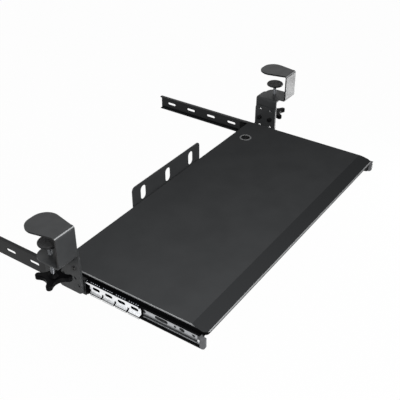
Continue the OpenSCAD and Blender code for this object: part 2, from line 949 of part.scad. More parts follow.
// Knobs
notch_r = 20;
arm_root = arm_half + notch_r;
arm_tip = knob_r - arm_half;

// Cuts the hollow between two arms, flared so that the hollow's edges come out rounded
module notch_profile() {
    square([notch_r, arm_t]);
    for (z = [0, arm_t - knob_edge])
        difference() {
            translate([notch_r - eps, z])
                square([knob_edge + eps, knob_edge]);
            translate([notch_r + knob_edge, z == 0 ? knob_edge : z])
                circle(knob_edge);
        }
}

module arm_end_profile() {
    square([arm_half - knob_edge, arm_t]);
    translate([0, knob_edge])
        square([arm_half, arm_t - 2 * knob_edge]);
    for (z = [knob_edge, arm_t - knob_edge])
        translate([arm_half - knob_edge, z])
            circle(knob_edge);
}

module star() {
    difference() {
        translate([-arm_root, -arm_root, 0])
            cube([2 * arm_root, 2 * arm_root, arm_t]);
        for (x = [-1, 1], y = [-1, 1])
            translate([x * arm_root, y * arm_root, 0])
                rotate_extrude($fn = 96)
                    notch_profile();
    }
    for (a = [0 : 90 : 270])
        rotate(a) {
            extrude_x(arm_root - 2 * knob_edge, arm_tip - arm_root + 2 * knob_edge)
                round_rect([-arm_half, 0], [arm_half, arm_t], knob_edge);
            translate([arm_tip, 0, 0])
                rotate_extrude()
                    arm_end_profile();
        }
}

module knob(side) {
    screw_foot = knob_top - arm_t * 0.6;
    color(BLACK)
        on_side(side)
            translate([clamp_x, screw_y, knob_top])
                difference() {
                    union() {
                        translate([0, 0, -arm_t])
                            rotate(knob_turn)
                                star();
                        translate([0, 0, -arm_t - 2])
                            cylinder(h = arm_t + 1, r = hub_r);
                        translate([0, 0, -1])
                            cylinder(h = collar_h + 1, r1 = hub_r, r2 = screw_r + 3);
                    }
                    translate([0, 0, screw_foot - knob_top])
                        cylinder(h = arm_t + collar_h, r = screw_r + fit_gap);
                }
}

tray_board();
cable_grommet();
rear_stop();
rear_stop_screws();
rail_bracket(-1);  // left_rail_bracket
rail_bracket(1);  // right_rail_bracket
bracket_screws(-1);  // left_bracket_screws
bracket_screws(1);  // right_bracket_screws
inner_rail(-1);  // left_inner_rail
inner_rail(1);  // right_inner_rail
rail_rivets(-1);  // left_rail_rivets
rail_rivets(1);  // right_rail_rivets
rail_plug(-1);  // left_rail_plug
rail_plug(1);  // right_rail_plug
ball_cage(-1);  // left_ball_cage
ball_cage(1);  // right_ball_cage
balls(-1);  // left_balls
balls(1);  // right_balls
outer_channel(-1);  // left_outer_channel
outer_channel(1);  // right_outer_channel
channel_screws(-1);  // left_channel_screws
channel_screws(1);  // right_channel_screws
hanger_plate(-1);  // left_hanger_plate
hanger_plate(1);  // right_hanger_plate
hanger_bolts(-1);  // left_hanger_bolts
hanger_bolts(1);  // right_hanger_bolts
clamp_bracket(-1);  // left_clamp_bracket
clamp_bracket(1);  // right_clamp_bracket
top_pad(-1);  // left_top_pad
top_pad(1);  // right_top_pad
threaded_boss(-1);  // left_threaded_boss
threaded_boss(1);  // right_threaded_boss
clamp_screw(-1);  // left_clamp_screw
clamp_screw(1);  // right_clamp_screw
knob(-1);  // left_knob
knob(1);  // right_knob
pad_cup(-1);  // left_pad_cup
pad_cup(1);  // right_pad_cup
pad_face(-1);  // left_pad_face
pad_face(1);  // right_pad_face
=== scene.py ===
"""Studio scene of a pull-out keyboard tray that hangs from two screw clamps.

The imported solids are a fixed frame. The classes below give every solid its finish, put detailed screws,
threads, pressed ball cages and ribbed rubber in place of the plain ones, and set the camera, the lamps and
the floor.
"""

import logging
import math
from dataclasses import dataclass, field
from enum import Enum

import bmesh
import bpy
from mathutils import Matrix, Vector


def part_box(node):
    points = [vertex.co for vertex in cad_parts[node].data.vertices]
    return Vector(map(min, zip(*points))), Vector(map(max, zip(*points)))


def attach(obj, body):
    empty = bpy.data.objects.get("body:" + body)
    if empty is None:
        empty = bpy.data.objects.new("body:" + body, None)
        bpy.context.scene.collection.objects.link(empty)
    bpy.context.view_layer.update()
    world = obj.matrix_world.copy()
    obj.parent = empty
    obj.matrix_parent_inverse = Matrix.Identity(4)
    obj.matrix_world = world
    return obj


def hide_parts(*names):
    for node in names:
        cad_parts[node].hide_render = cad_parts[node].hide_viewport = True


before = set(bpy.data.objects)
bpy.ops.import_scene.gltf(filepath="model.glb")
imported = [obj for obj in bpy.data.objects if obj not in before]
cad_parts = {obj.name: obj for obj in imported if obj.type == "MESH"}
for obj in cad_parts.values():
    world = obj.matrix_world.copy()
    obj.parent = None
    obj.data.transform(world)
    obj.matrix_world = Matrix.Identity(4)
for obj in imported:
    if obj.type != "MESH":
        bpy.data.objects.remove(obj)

Tree, Node, Socket = bpy.types.NodeTree, bpy.types.Node, bpy.types.NodeSocket
Piece, Mesh = bpy.types.Object, bmesh.types.BMesh
Point = tuple[float, float]

LOG = logging.getLogger("keyboard_tray")
MM = 0.001
IMAGE_PX = 400
WHITE = "#ffffff"
MATH = "ShaderNodeMath"

# The height of both slides' centre lines.
SLIDE_Z = -151 * MM

# Points nearer than this are one point, in a solid and between the panels of a sheet.
SAME_POINT = 0.001 * MM
SHEET_WELD = 0.005 * MM

# The noise values that give the first and the second tone, and the least and the most roughness.
TONE_BAND = (0.35, 0.65)
GLOSS_BAND = (0.3, 0.7)
TONE_DETAIL = 3.0
GRAIN_DETAIL = 2.0
EDGE_SAMPLES = 4

# The places of the first value, the second value and the result among a Mix node's sockets.
MIX_SOCKETS = {"RGBA": (6, 7, 2), "FLOAT": (2, 3, 0)}


class Side(Enum):
    """The two mirrored halves of the tray."""

    LEFT = "left"
    RIGHT = "right"

    def node(self, part: str) -> str:
        """Gives this side's name for a part."""
        return f"{self.value}_{part}"


class Body(Enum):
    """The rigid bodies that a new piece can ride on; the tray is one body, and each side has the others."""

    SCREW = "screw"
    PAD = "pad"
    CAGE = "cage"
    TRAY = "tray"


class Slot(Enum):
    """The record's material slots that a new piece can take its finish from."""

    ZINC = "zinc"
    RUBBER = "rubber"


def linear(colour: str) -> tuple[float, float, float, float]:
    """Turns an sRGB hex value to linear light.

    Args:
        colour: six hex digits after a hash sign.

    Returns:
        Red, green, blue and an alpha of 1.
    """
    channels = [int(colour[i:i + 2], 16) / 255 for i in (1, 3, 5)]
    red, green, blue = (c / 12.92 if c <= 0.04045 else ((c + 0.055) / 1.055) ** 2.4 for c in channels)
    return red, green, blue, 1.0


def add_node(tree: Tree, kind: str, inputs: dict | None = None, **settings) -> Node:
    """Adds a node with its settings, and sets or links its inputs.

    Args:
        tree: the tree that takes the node.
        kind: the node's type name.
        inputs: what goes into an input, by its name or index: a value, an output socket, a node whose first
            output is meant, or a list of those.
        **settings: attributes of the node.

    Returns:
        The new node.
    """
    node = tree.nodes.new(kind)
    for name, value in settings.items():
        setattr(node, name, value)
    for key, value in (inputs or {}).items():
        for source in value if isinstance(value, list) else [value]:
            if isinstance(source, (Node, Socket)):
                tree.links.new(source.outputs[0] if isinstance(source, Node) else source, node.inputs[key])
            else:
                node.inputs[key].default_value = source
    return node


@dataclass(frozen=True)
class Finish:
    """A surface finish: its shader values, its two tones and the size of its pattern, in metres."""

    name: str
    colour: str
    second_colour: str
    roughness: float
    roughness_spread: float
    pattern_size: float
    tone_size: float
    relief: float
    metallic: float = 0.0
    ior: float = 1.5
    specular: float = 0.5
    edge_radius: float = 0.5 * MM
    stretch: tuple[float, float, float] = (1.0, 1.0, 1.0)

    def material(self) -> bpy.types.Material:
        """Builds the material once, or finds it.

        Returns:
            The finish's material.
        """
        found = bpy.data.materials.get(self.name)
        if found:
            return found
        material = bpy.data.materials.new(self.name)
        material.use_nodes = True
        tree = material.node_tree
        tree.nodes.clear()
        shader = add_node(tree, "ShaderNodeBsdfPrincipled", {
            "Base Color": linear(self.colour), "Roughness": self.roughness,
            "Metallic": self.metallic, "IOR": self.ior, "Specular IOR Level": self.specular})
        self.paint(tree, shader)
        add_node(tree, "ShaderNodeOutputMaterial", {"Surface": shader})
        return material

    def paint(self, tree: Tree, shader: Node) -> None:
        """Adds the two tones, the uneven gloss, the fine relief and the soft edges.

        Args:
            tree: the material's node tree.
            shader: the shader that takes them.
        """
        place = add_node(tree, "ShaderNodeTexCoord").outputs["Object"]
        drawn = add_node(tree, "ShaderNodeMapping", {"Vector": place, "Scale": self.stretch})
        tone = add_node(tree, "ShaderNodeTexNoise", {
            "Vector": drawn, "Scale": 1 / self.tone_size, "Detail": TONE_DETAIL})
        colours = add_node(tree, "ShaderNodeValToRGB", {"Fac": tone})
        for i, colour in enumerate((self.colour, self.second_colour)):
            colours.color_ramp.elements[i].position = TONE_BAND[i]
            colours.color_ramp.elements[i].color = linear(colour)
        tree.links.new(colours.outputs["Color"], shader.inputs["Base Color"])
        grain = self.grain(tree, drawn)
        gloss = add_node(tree, "ShaderNodeMapRange", {
            "Value": tone, "From Min": GLOSS_BAND[0], "From Max": GLOSS_BAND[1],
            "To Min": self.roughness - self.roughness_spread,
            "To Max": self.roughness + self.roughness_spread})
        tree.links.new(gloss.outputs["Result"], shader.inputs["Roughness"])
        self.mask(tree, shader, place)
        edge = add_node(tree, "ShaderNodeBevel", {"Radius": self.edge_radius}, samples=EDGE_SAMPLES)
        bump = add_node(tree, "ShaderNodeBump", {"Distance": self.relief, "Height": grain, "Normal": edge})
        tree.links.new(bump.outputs["Normal"], shader.inputs["Normal"])

    def mask(self, tree: Tree, shader: Node, place: Socket) -> None:
        """Leaves the finish whole; a finish that covers only some faces changes the rest here.

        Args:
            tree: the material's node tree; not used here.
            shader: the shader, with its colour and roughness linked; not used here.
            place: the place on the object; not used here.
        """

    def lay_over(self, tree: Tree, shader: Node, socket: str, over: object, cover: Node) -> None:
        """Lays a second value over one of the shader's inputs.

        Args:
            tree: the material's node tree.
            shader: the shader.
            socket: the name of the input.
            over: the second colour or number.
            cover: 1 where the second value shows, and 0 elsewhere.
        """
        into = shader.inputs[socket]
        kind = "RGBA" if into.type == "RGBA" else "FLOAT"
        first, second, result = MIX_SOCKETS[kind]
        under = into.links[0].from_socket if into.is_linked else into.default_value
        mixed = add_node(tree, "ShaderNodeMix", {0: cover, first: under, second: over}, data_type=kind)
        tree.links.new(mixed.outputs[result], into)

    def grain(self, tree: Tree, place: Node) -> Node:
        """Draws the height of the fine relief.

        Args:
            tree: the material's node tree.
            place: the place on the object.

        Returns:
            The height, from 0 to 1.
        """
        return add_node(tree, "ShaderNodeTexNoise", {
            "Vector": place, "Scale": 1 / self.pattern_size, "Detail": GRAIN_DETAIL})

    def facing(self, tree: Tree) -> Node:
        """Finds which way a face looks.

        Args:
            tree: the material's node tree.

        Returns:
            The node whose X, Y and Z outputs give the face's direction.
        """
        faces = add_node(tree, "ShaderNodeNewGeometry")
        return add_node(tree, "ShaderNodeSeparateXYZ", {"Vector": faces.outputs["True Normal"]})


@dataclass(frozen=True)
class PebbledFinish(Finish):
    """A finish pressed or moulded with a fine pebble, which scatters the light off a dark surface."""

    def grain(self, tree: Tree, place: Node) -> Node:
        """Draws rounded pebbles in place of the noise.

        Args:
            tree: the material's node tree.
            place: the place on the object.

        Returns:
            The height, from 0 to 1.
        """
        return add_node(tree, "ShaderNodeTexVoronoi", {
            "Vector": place, "Scale": 1 / self.pattern_size}, feature="SMOOTH_F1")


@dataclass(frozen=True)
class RimmedFinish(PebbledFinish):
    """A moulded finish with a painted highlight on the faces that look up."""

    rim_highlight_colour: str = "#6e6f70"
    rim_from: float = 0.4

    def mask(self, tree: Tree, shader: Node, place: Socket) -> None:
        """Lays a painted highlight over the faces that look up.

        Args:
            tree: the material's node tree.
            shader: the shader, with its colour and roughness linked.
            place: the place on the object; not used.
        """
        facing = self.facing(tree)
        # Painted highlight: the faces that look up, such as the rim, are drawn paler.
        rim = add_node(tree, MATH, {0: facing.outputs["Z"], 1: self.rim_from}, operation="GREATER_THAN")
        self.lay_over(tree, shader, "Base Color", linear(self.rim_highlight_colour), rim)


@dataclass(frozen=True)
class EdgedBoardFinish(PebbledFinish):
    """A board finish with painted shade on the sloped strip, and a smoother black edge band with a painted
    highlight along its top arris.
    """

    strip_shade_colour: str = "#2c2d2e"
    strip_slope: float = -0.05
    band_colour: str = "#0b0b0c"
    band_roughness: float = 0.24
    band_below: float = 0.9
    arris_highlight_colour: str = "#868788"
    arris_full: float = 0.75
    arris_below: float = 0.95

    def mask(self, tree: Tree, shader: Node, place: Socket) -> None:
        """Lays painted shade over the sloped face, the band over the edges and a painted highlight on their
        top arris.

        Args:
            tree: the material's node tree.
            shader: the shader, with its colour and roughness linked.
            place: the place on the object; not used.
        """
        slope = self.facing(tree)
        # Painted shade: the faces that slope towards the front are drawn darker.
        strip = add_node(tree, MATH, {0: slope.outputs["Y"], 1: self.strip_slope}, operation="LESS_THAN")
        flat = add_node(tree, MATH, {0: slope.outputs["Z"]}, operation="ABSOLUTE")
        band = add_node(tree, MATH, {0: flat, 1: self.band_below}, operation="LESS_THAN")
        self.lay_over(tree, shader, "Base Color", linear(self.strip_shade_colour), strip)
        self.lay_over(tree, shader, "Base Color", linear(self.band_colour), band)
        self.lay_over(tree, shader, "Roughness", self.band_roughness, band)
        # Painted highlight: faces turned part way from the top, along the top of the edges, are drawn pale.
        turned = add_node(tree, "ShaderNodeMapRange", {
            "Value": slope.outputs["Z"], "From Max": self.arris_full})
        edge = add_node(tree, MATH, {0: slope.outputs["Z"], 1: self.arris_below}, operation="LESS_THAN")
        arris = add_node(tree, MATH, {0: turned, 1: edge}, operation="MULTIPLY")
        self.lay_over(tree, shader, "Base Color", linear(self.arris_highlight_colour), arris)


@dataclass(frozen=True)
class BentSheetFinish(Finish):
    """A coat on bent sheet, with a painted highlight on the clamp's front bend and painted shade on its cut
    edges.
    """

    bend_highlight_colour: str = "#8c8d8e"
    bend_from: float = 0.55
    edge_shade_colour: str = "#0a0a0b"
    edge_from: float = 0.3
    edge_above: float = -57 * MM

    def mask(self, tree: Tree, shader: Node, place: Socket) -> None:
        """Lays painted shade over the clamp's cut edges and a painted highlight over its front bend.

        Args:
            tree: the material's node tree.
            shader: the shader, with its colour and roughness linked.
            place: the place on the object.
        """
        facing = self.facing(tree)
        # Painted shade: faces that look sideways above the flange, the cut edges, are drawn near black.
        side = add_node(tree, MATH, {0: facing.outputs["X"]}, operation="ABSOLUTE")
        cut = add_node(tree, MATH, {0: side, 1: self.edge_from}, operation="GREATER_THAN")
        level = add_node(tree, "ShaderNodeSeparateXYZ", {"Vector": place})
        high = add_node(tree, MATH, {0: level.outputs["Z"], 1: self.edge_above}, operation="GREATER_THAN")
        edge = add_node(tree, MATH, {0: cut, 1: high}, operation="MULTIPLY")
        self.lay_over(tree, shader, "Base Color", linear(self.edge_shade_colour), edge)
        # Painted highlight: faces turned both forward and up, on the front bend, are drawn pale.
        front = add_node(tree, MATH, {0: facing.outputs["Y"], 1: -1.0}, operation="MULTIPLY")
        turned = add_node(tree, MATH, {0: front, 1: facing.outputs["Z"]}, operation="MINIMUM")
        bend = add_node(tree, MATH, {0: turned, 1: self.bend_from}, operation="GREATER_THAN")
        line = add_node(tree, MATH, {0: bend, 1: high}, operation="MULTIPLY")
        self.lay_over(tree, shader, "Base Color", linear(self.bend_highlight_colour), line)


@dataclass(frozen=True)
class GreaseAndShadeFinish(Finish):
    """Slide steel that is bare along the middle and black on both races, greasy and in painted shade."""

    grease_and_shade_colour: str = "#060607"
    upper_v: float = 13.6 * MM
    lower_v: float = 13.6 * MM

    def mask(self, tree: Tree, shader: Node, place: Socket) -> None:
        """Lays the greasy black and painted shade over the bare steel.

        Args:
            tree: the material's node tree.
            shader: the shader, with its colour and roughness linked.
            place: the place on the object.
        """
        axes = add_node(tree, "ShaderNodeSeparateXYZ", {"Vector": place})
        rise = add_node(tree, MATH, {0: axes.outputs["Z"], 1: SLIDE_Z}, operation="SUBTRACT")
        dark, *patches = self.grease_and_shade(tree, axes.outputs["Y"], rise)
        for patch in patches:
            dark = add_node(tree, MATH, {0: dark, 1: patch}, operation="MAXIMUM")
        self.lay_over(tree, shader, "Base Color", linear(self.grease_and_shade_colour), dark)
        self.lay_over(tree, shader, "Metallic", 0.0, dark)

    def grease_and_shade(self, tree: Tree, along: Socket, rise: Node) -> list[Node]:
        """Draws where the steel is black, greasy and in painted shade.

        Args:
            tree: the material's node tree.
            along: the place along the slide; not used here.
            rise: the height above the slide's centre line.

        Returns:
            The black patches, each 1 where the steel is black.
        """
        # Greasy black and painted shade above and below the bare middle.
        upper = add_node(tree, MATH, {0: rise, 1: self.upper_v}, operation="GREATER_THAN")
        lower = add_node(tree, MATH, {0: rise, 1: -self.lower_v}, operation="LESS_THAN")
        return [upper, lower]


@dataclass(frozen=True)
class CageGreaseAndShadeFinish(GreaseAndShadeFinish):
    """Plated strip with painted shade on its lower bend, on faces that look up, down or along, and at the
    channel's mouth.
    """

    bend_v: float = -10.7 * MM
    bend_reach: float = 1 * MM
    edge_below: float = 0.3
    mouth_y: float = 2 * MM
    mouth_v: float = 8.5 * MM

    def grease_and_shade(self, tree: Tree, along: Socket, rise: Node) -> list[Node]:
        """Adds painted shade on the lower bend, on faces that don't look sideways and at the channel's mouth
        to the black round the balls.

        Args:
            tree: the material's node tree.
            along: the place along the slide.
            rise: the height above the slide's centre line.

        Returns:
            The black patches, each 1 where the steel is black.
        """
        # Painted shade in the crease of the lower bend.
        bend = add_node(tree, MATH, {0: rise, 1: self.bend_v, 2: self.bend_reach}, operation="COMPARE")
        # Painted shade on every face that does not look sideways: the punched edges and the flanges.
        turn = self.facing(tree)
        sideways = add_node(tree, MATH, {0: turn.outputs["X"]}, operation="ABSOLUTE")
        punched = add_node(tree, MATH, {0: sideways, 1: self.edge_below}, operation="LESS_THAN")
        # Painted shade where the cage runs into the channel's mouth.
        behind = add_node(tree, MATH, {0: along, 1: self.mouth_y}, operation="GREATER_THAN")
        below = add_node(tree, MATH, {0: rise, 1: self.mouth_v}, operation="LESS_THAN")
        mouth = add_node(tree, MATH, {0: behind, 1: below}, operation="MULTIPLY")
        return [*super().grease_and_shade(tree, along, rise), bend, punched, mouth]


@dataclass(frozen=True)
class RailGreaseAndShadeFinish(GreaseAndShadeFinish):
    """Rolled steel, bare at a rail's front, with painted shade behind it and painted shade deepening down the
    web to the lower ridge.
    """

    shade_behind_from: float = -119 * MM
    shade_behind_fade: float = 6 * MM
    ridge_shade_from: float = 0.5 * MM
    ridge_shade_to: float = -5 * MM
    ridge_shade: float = 0.93
    ridge_v: float = -8.7 * MM

    def grease_and_shade(self, tree: Tree, along: Socket, rise: Node) -> list[Node]:
        """Adds the painted shade behind and the painted shade above the bare ridge to the black on the races.

        Args:
            tree: the material's node tree.
            along: the place along the slide.
            rise: the height above the slide's centre line.

        Returns:
            The black patches, each 1 where the steel is black.
        """
        # Painted shade on the rail behind its bare front, where the cage covers it.
        shade_behind = add_node(tree, "ShaderNodeMapRange", {
            "Value": along, "From Min": self.shade_behind_from - self.shade_behind_fade, "From Max": self.shade_behind_from})
        # Painted shade that deepens from the centre line down to the bare ridge.
        deepening_shade = add_node(tree, "ShaderNodeMapRange", {
            "Value": rise, "From Min": self.ridge_shade_from, "From Max": self.ridge_shade_to, "To Max": self.ridge_shade})
        above = add_node(tree, MATH, {0: rise, 1: self.ridge_v}, operation="GREATER_THAN")
        ridge_shade = add_node(tree, MATH, {0: deepening_shade, 1: above}, operation="MULTIPLY")
        return [*super().grease_and_shade(tree, along, rise), shade_behind, ridge_shade]


# Melamine paper pressed on fibreboard: charcoal, almost matt, with a pebble too fine to count, painted shade
# on the sloped front strip, and a smooth black edge band with a painted highlight on its top. The real pebble
# is about 0.3 mm; it is drawn coarser to show.
LAMINATE = EdgedBoardFinish("black_melamine_laminate", "#3b3c3d", "#38393a", 0.5, 0.03, 0.8 * MM, 60 * MM,
                            0.02 * MM, ior=1.6, specular=0.001)

# Baked powder paint on bent steel: dark charcoal, satin, with the low waves of orange peel, a painted
# highlight on the clamps' front bends and painted shade on their cut edges.
POWDER_COAT = BentSheetFinish("charcoal_powder_coat", "#343536", "#303132", 0.4, 0.05, 1.4 * MM, 25 * MM,
                              0.03 * MM, ior=1.55, specular=0.145, edge_radius=0.7 * MM)

# Dip-painted steel of the fixed channels and brackets: a thin black film that shows the rolled sheet.
ELECTROCOAT = Finish("black_electrocoat_steel", "#101112", "#161718", 0.34, 0.06, 2 * MM, 18 * MM, 0.01 * MM,
                     ior=1.55, specular=0.125, edge_radius=0.3 * MM, stretch=(1.0, 0.15, 1.0))

# Cold-rolled steel of the moving rails: mid grey, drawn along the strip, black in the races, greasy and in
# painted shade, with painted shade behind its bare front and down the web to the lower ridge.
RAIL_STEEL = RailGreaseAndShadeFinish("cold_rolled_rail_steel", "#b6b8bb", "#a8aaad", 0.36, 0.06, 1.6 * MM, 12 * MM,
                               0.01 * MM, metallic=1.0, specular=0.05, edge_radius=0.3 * MM,
                               stretch=(1.0, 0.2, 1.0), upper_v=8.8 * MM, lower_v=9.6 * MM)

# Zinc-plated strip of the ball cages: nearly white and cloudy, black round the balls, greasy and in painted
# shade, and with painted shade on its bends and edges and where the channel starts.
CAGE_ZINC = CageGreaseAndShadeFinish("zinc_plated_cage_strip", "#fafbfc", "#eceef0", 0.4, 0.07, 1.2 * MM, 6 * MM,
                              0.008 * MM, metallic=1.0, specular=0.05, edge_radius=0.15 * MM,
                              stretch=(1.0, 0.3, 1.0))

# Bright zinc plating on thin sheet and fasteners: nearly white, cloudy, drawn along the strip.
ZINC = Finish("zinc_plated_steel", "#f1f2f3", "#e2e4e6", 0.4, 0.07, 1.2 * MM, 6 * MM, 0.008 * MM,
              metallic=1.0, edge_radius=0.15 * MM, stretch=(1.0, 0.3, 1.0))

# Turned steel of the clamp screws: grey.
SCREW_STEEL = Finish("turned_screw_steel", "#85878a", "#76787b", 0.35, 0.06, 0.8 * MM, 5 * MM, 0.008 * MM,
                     metallic=1.0, edge_radius=0.1 * MM)

# Ground bearing balls: a mirror drawn dark, as a painted reflection of the dark parts round them, with a
# small highlight on each.
BALL_STEEL = Finish("oiled_bearing_steel", "#5d6064", "#54575b", 0.12, 0.03, 1 * MM, 3 * MM, 0.001 * MM,
                    metallic=1.0, edge_radius=0.05 * MM)

# Blackened steel of the hanger bolts: near black, with a small gleam on the head's rim.
BLACK_OXIDE = Finish("black_oxide_steel", "#0e0e0f", "#141415", 0.26, 0.05, 0.8 * MM, 5 * MM, 0.008 * MM,
                     specular=0.2, edge_radius=0.3 * MM)

# Glass-filled nylon from a spark-eroded mould: black, drawn darker still as painted shade, matt, and slightly
# greyer in random patches. The pits of such a mould are about 0.2 mm; this and the next two finishes draw
# them coarser to show.
NYLON = PebbledFinish("moulded_black_nylon", "#040405", "#070708", 0.42, 0.06, 0.9 * MM, 14 * MM, 0.02 * MM,
                      ior=1.53, specular=0.03, edge_radius=0.4 * MM)

# Moulded polypropylene of the cable grommet: black, with a painted highlight on its rim and the other faces
# that look up.
POLYPROPYLENE = RimmedFinish("moulded_black_polypropylene", "#0a0a0b", "#0e0e0f", 0.4, 0.05, 0.8 * MM,
                             10 * MM, 0.02 * MM, ior=1.49, specular=0.1, edge_radius=0.4 * MM)

# Moulded acetal of the rail plugs: mid grey, waxy, with a faint mould texture.
GREY_ACETAL = PebbledFinish("moulded_grey_acetal", "#565759", "#4e4f51", 0.45, 0.05, 0.8 * MM, 8 * MM,
                            0.02 * MM, ior=1.48, specular=0.3, edge_radius=0.4 * MM)

# Moulded rubber: black with a bloom of grey, no gloss.
RUBBER = Finish("black_nitrile_rubber", "#1d1d1e", "#262627", 0.82, 0.05, 0.7 * MM, 9 * MM, 0.03 * MM,
                ior=1.52, edge_radius=0.3 * MM)


def dress(node: str, finish: Finish) -> None:
    """Gives a solid its finish.

    Args:
        node: the solid's name.
        finish: the finish it takes.
    """
    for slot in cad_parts[node].material_slots:
        slot.material = finish.material()
    LOG.info("dressed %s in %s", node, finish.name)


def solid_boxes(node: str) -> list[tuple[Vector, Vector]]:
    """Finds the separate solids in a node.

    Args:
        node: the node's name.

    Returns:
        The lowest and highest corner of each solid.
    """
    mesh = bmesh.new()
    mesh.from_mesh(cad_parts[node].data)
    bmesh.ops.remove_doubles(mesh, verts=mesh.verts, dist=SAME_POINT)
    left = set(mesh.verts)
    boxes = []
    while left:
        island = {left.pop()}
        edge_of_island = set(island)
        while edge_of_island:
            near = {edge.other_vert(vert) for vert in edge_of_island for edge in vert.link_edges}
            edge_of_island = near - island
            island |= edge_of_island
        left -= island
        low = Vector(min(vert.co[axis] for vert in island) for axis in range(3))
        high = Vector(max(vert.co[axis] for vert in island) for axis in range(3))
        boxes.append((low, high))
    mesh.free()
    return sorted(boxes, key=lambda box: tuple(box[0]))


def axis_of(low: Vector, high: Vector) -> Vector:
    """Finds the upright axis of a box, as its point at height 0."""
    return Vector(((low.x + high.x) / 2, (low.y + high.y) / 2, 0))


def new_piece(name: str, mesh: Mesh, finish: Finish, smooth_angle: float = 35.0) -> Piece:
    """Makes an object of a finished bmesh, with its place in its mesh.

    Args:
        name: the piece's name.
        mesh: the shape, which is freed.
        finish: the finish it takes.
        smooth_angle: edges flatter than this many degrees are shaded smooth.

    Returns:
        The new object.
    """
    data = bpy.data.meshes.new(name)
    bmesh.ops.recalc_face_normals(mesh, faces=mesh.faces)
    for face in mesh.faces:
        face.smooth = True
    for edge in mesh.edges:
        edge.smooth = edge.calc_face_angle(math.pi) < math.radians(smooth_angle)
    mesh.to_mesh(data)
    mesh.free()
    data.materials.append(finish.material())
    piece = bpy.data.objects.new(name, data)
    bpy.context.scene.collection.objects.link(piece)
    return piece


def lathe(profile: list[Point], centre: Vector, segments: int = 48) -> Mesh:
    """Turns a profile of radius and height about an upright axis.

    Args:
        profile: radius and height of each point, from one end of the axis to the other.
        centre: a point on the axis; its height is added to the profile's.
        segments: the number of steps round the axis.

    Returns:
        The turned shape, closed at both ends.
    """
    mesh = bmesh.new()
    rings = []
    for radius, height in profile:
        steps = segments if radius > 0 else 1
        rings.append([mesh.verts.new(centre + Vector((
            radius * math.cos(math.tau * i / steps), radius * math.sin(math.tau * i / steps), height)))
            for i in range(steps)])
    for low, high in zip(rings, rings[1:]):
        for i in range(segments):
            ahead = i + 1
            corners = (low[i % len(low)], low[ahead % len(low)], high[ahead % len(high)], high[i % len(high)])
            mesh.faces.new(list(dict.fromkeys(corners)))
    return mesh


@dataclass
class GeometryTree:
    """A geometry tree under construction, with its named inputs."""

    name: str
    tree: Tree = field(init=False)
    start: Node = field(init=False)

    def __post_init__(self) -> None:
        """Starts the tree with its geometry input and output."""
        self.tree = bpy.data.node_groups.new(self.name, "GeometryNodeTree")
        self.tree.interface.new_socket("Geometry", in_out="INPUT", socket_type="NodeSocketGeometry")
        self.tree.interface.new_socket("Geometry", in_out="OUTPUT", socket_type="NodeSocketGeometry")
        self.start = add_node(self.tree, "NodeGroupInput")

    def size(self, name: str, kind: str = "NodeSocketFloat") -> Socket:
        """Adds a named input.

        Args:
            name: the input's name.
            kind: the type of its socket.

        Returns:
            The socket to link from.
        """
        self.tree.interface.new_socket(name, in_out="INPUT", socket_type=kind)
        return self.start.outputs[name]

    def end(self, geometry: Node, finish: Finish) -> None:
        """Makes the result plain geometry with a material, and closes the tree.

        Args:
            geometry: the node with the whole result.
            finish: the finish it takes.
        """
        whole = add_node(self.tree, "GeometryNodeRealizeInstances", {"Geometry": geometry})
        dressed = add_node(self.tree, "GeometryNodeSetMaterial", {
            "Geometry": whole, "Material": finish.material()})
        add_node(self.tree, "NodeGroupOutput", {"Geometry": dressed})

    def apply(self, piece: Piece, **values) -> None:
        """Runs the tree on a piece and leaves a plain mesh.

        Args:
            piece: the object that carries the tree's input geometry.
            **values: the inputs by name, with an underscore for each space.
        """
        modifier = piece.modifiers.new(self.name, "NODES")
        modifier.node_group = self.tree
        for item in self.tree.interface.items_tree:
            key = item.name.replace(" ", "_").lower()
            if item.in_out == "INPUT" and key in values:
                modifier[item.identifier] = values[key]
        freeze(piece)


def freeze(piece: Piece) -> None:
    """Turns a piece with modifiers into a plain mesh.

    Args:
        piece: the object to freeze.
    """
    evaluated = piece.evaluated_get(bpy.context.evaluated_depsgraph_get())
    mesh = bpy.data.meshes.new_from_object(evaluated)
    piece.modifiers.clear()
    piece.data = mesh


def hand_over(piece: Piece, body: str, node: str) -> None:
    """Lets a piece ride on its body and stand for its solid.

    Args:
        piece: the finished piece.
        body: the body that it moves with.
        node: the solid that it stands for.
    """
    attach(piece, body)
    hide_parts(node)
    LOG.info("made %s with %d faces", piece.name, len(piece.data.polygons))


